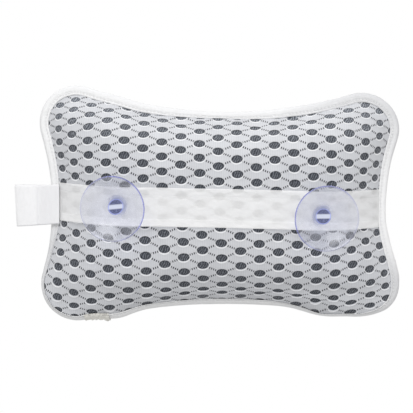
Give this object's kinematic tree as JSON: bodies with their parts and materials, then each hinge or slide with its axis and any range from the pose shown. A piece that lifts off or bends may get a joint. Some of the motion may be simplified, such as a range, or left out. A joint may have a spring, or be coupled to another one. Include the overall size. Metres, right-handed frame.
{
  "type": "bath pillow",
  "caption": "Soft air-mesh bath pillow with bound bow-tie edge, a back strap holding clear suction cups, and a webbing loop for hanging it up to dry.",
  "frame": {"origin": "centre of the flat patch of the front face that the pillow lies on", "axes": "+X along the pillow away from the loop, +Y across it, +Z out of the back face with the suction cups"},
  "size_m": [0.3312, 0.2053, 0.0812],
  "materials": {
    "filling": "loose white fibre",
    "ground_knit": "dark grey fine knit",
    "face_net": "white open knit, matt",
    "binding_tape": "white knit tape, matt",
    "thread": "white polyester thread",
    "strap_cloth": "thin white cloth",
    "clear_pvc": "clear soft moulding, gloss",
    "webbing": "white ribbed webbing"
  },
  "bodies": {
    "pillow": {"filling_core": "filling", "back_ground": "ground_knit", "front_ground": "ground_knit", "back_face_net": "face_net", "front_face_net": "face_net", "edge_binding": "binding_tape", "binding_lap": "binding_tape", "needle_thread": "thread", "bobbin_thread": "thread", "back_strap": "strap_cloth"},
    "cup_left": {"suction_cup_left": "clear_pvc"},
    "cup_right": {"suction_cup_right": "clear_pvc"},
    "loop": {"hanging_loop": "webbing"}
  },
  "joints": [
    {"name": "cup_left_spin", "type": "hinge", "parent": "pillow", "child": "cup_left", "pos_m": [-0.087, 0.0011, 0.06446], "axis": [-0.1564, 0, 0.9877], "continuous": true},
    {"name": "cup_right_spin", "type": "hinge", "parent": "pillow", "child": "cup_right", "pos_m": [0.087, -0.0062, 0.06447], "axis": [0.1564, 0, 0.9877], "continuous": true},
    {"name": "loop_fold", "type": "hinge", "parent": "pillow", "child": "loop", "pos_m": [-0.1383, 0, 0.0323], "axis": [0, 1, 0], "range_deg": [0, 100], "stiffness_Nm_per_rad": 0.02}
  ]
}
